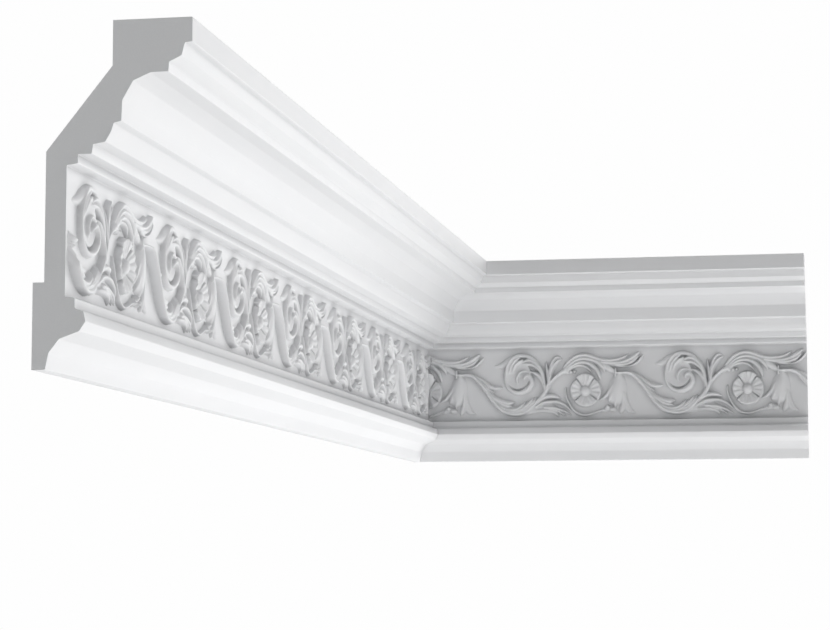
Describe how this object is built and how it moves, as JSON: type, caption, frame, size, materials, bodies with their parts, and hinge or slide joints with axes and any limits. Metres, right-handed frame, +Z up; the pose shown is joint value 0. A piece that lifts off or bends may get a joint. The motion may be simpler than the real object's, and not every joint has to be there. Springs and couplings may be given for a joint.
{
  "type": "ornamental cornice moulding",
  "caption": "Inside corner of a ceiling cornice: two mitred moulded lengths with stepped mouldings, a carved scroll frieze and an open cable chase behind.",
  "frame": {"origin": "on the wall face of the left length's foot pad, half way up the pad and 0.9 m along the wall from the inside corner", "axes": "+Z up to the ceiling, +X out from the wall behind the left length, +Y along that wall towards the inside corner"},
  "size_m": [0.617, 1.774, 0.3],
  "materials": {
    "primed_foam": "matt white primer on moulded polyurethane foam"
  },
  "bodies": {
    "root": {"cornice_length_left": "primed_foam", "cornice_length_right": "primed_foam"}
  },
  "joints": []
}
